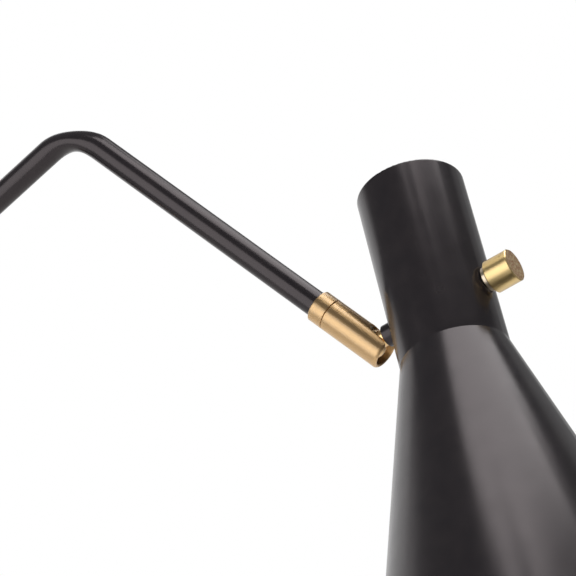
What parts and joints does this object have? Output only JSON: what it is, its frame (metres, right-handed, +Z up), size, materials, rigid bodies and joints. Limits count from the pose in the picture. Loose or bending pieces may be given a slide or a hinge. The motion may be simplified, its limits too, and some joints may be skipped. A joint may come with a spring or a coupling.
{
  "type": "wall sconce",
  "caption": "Swing-arm wall sconce: bent black tube arm, slotted brass ball joint, black cylinder-and-cone shade with a brass turn switch.",
  "frame": {"origin": "middle of the mounting bracket's back face, on the wall plane", "axes": "+Z up, -Y out of the wall along the arm, +Y into the wall"},
  "size_m": [0.2127, 0.5843, 0.2972],
  "materials": {
    "black_steel": "satin",
    "black_shade": "satin",
    "black_collar": "satin",
    "satin_brass": "satin",
    "spring_steel": "satin",
    "zinc_steel": "satin",
    "nickel": "polished",
    "nylon": "matte",
    "black_moulding": "satin",
    "green_screw": "satin",
    "lead_sheath": "matte",
    "white_wire": "matte",
    "opal_glass": "satin",
    "bulb_metal": "satin"
  },
  "bodies": {
    "wall_mount": {"mounting_bracket": "zinc_steel", "bracket_studs": "zinc_steel", "ground_screw": "green_screw", "wall_plate": "black_steel", "cap_nuts": "satin_brass", "hub": "satin_brass", "hub_nipple": "zinc_steel", "hub_washer": "zinc_steel", "hub_nut": "zinc_steel", "wall_lead": "lead_sheath", "pivot_bushings": "nylon", "friction_pad": "nylon", "friction_screw": "zinc_steel"},
    "arm": {"arm_tube": "black_steel", "stop_collar": "satin_brass", "stop_collar_screw": "zinc_steel", "pivot_cap": "satin_brass", "arm_lead": "lead_sheath", "collar_ring": "satin_brass"},
    "swivel": {"barrel": "satin_brass", "ball_seat": "nylon", "disc_springs": "spring_steel"},
    "ball": {"ball_stem": "satin_brass", "stem_washer": "spring_steel", "stem_nut": "zinc_steel"},
    "shade_head": {"shade": "black_shade", "stem_collar": "black_collar", "socket_bracket": "zinc_steel", "lead_supply": "lead_sheath", "lead_return": "white_wire", "lead_switched": "lead_sheath", "switch_body": "black_moulding", "switch_bushing": "nickel", "switch_ring_nut": "nickel", "socket_nipple": "zinc_steel", "socket_nut": "zinc_steel", "socket_body": "black_moulding", "screw_shell": "bulb_metal", "centre_contact": "satin_brass", "bulb_tip": "black_moulding", "bulb_cap": "bulb_metal", "bulb_glass": "opal_glass"},
    "switch_knob": {"knob": "satin_brass", "switch_shaft": "zinc_steel", "knob_screw": "zinc_steel"}
  },
  "joints": [
    {"name": "arm_swing", "type": "hinge", "parent": "wall_mount", "child": "arm", "pos_m": [0, -0.048, 0], "axis": [0, 0, 1], "range_deg": [-85, 85]},
    {"name": "barrel_turn", "type": "hinge", "parent": "arm", "child": "swivel", "pos_m": [0, -0.39417, 0.07354], "axis": [0, -0.8404, -0.542], "range_deg": [-170, 170]},
    {"name": "ball_tilt", "type": "hinge", "parent": "swivel", "child": "ball", "pos_m": [0, -0.39417, 0.07354], "axis": [1, 0, 0], "range_deg": [-32, 60]},
    {"name": "shade_spin", "type": "hinge", "parent": "ball", "child": "shade_head", "pos_m": [0, -0.42922, 0.09175], "axis": [0, -0.8874, 0.461], "range_deg": [-126, 174]},
    {"name": "switch_turn", "type": "hinge", "parent": "shade_head", "child": "switch_knob", "pos_m": [0, -0.45939, 0.10742], "axis": [0, -0.8874, 0.461], "continuous": true}
  ]
}
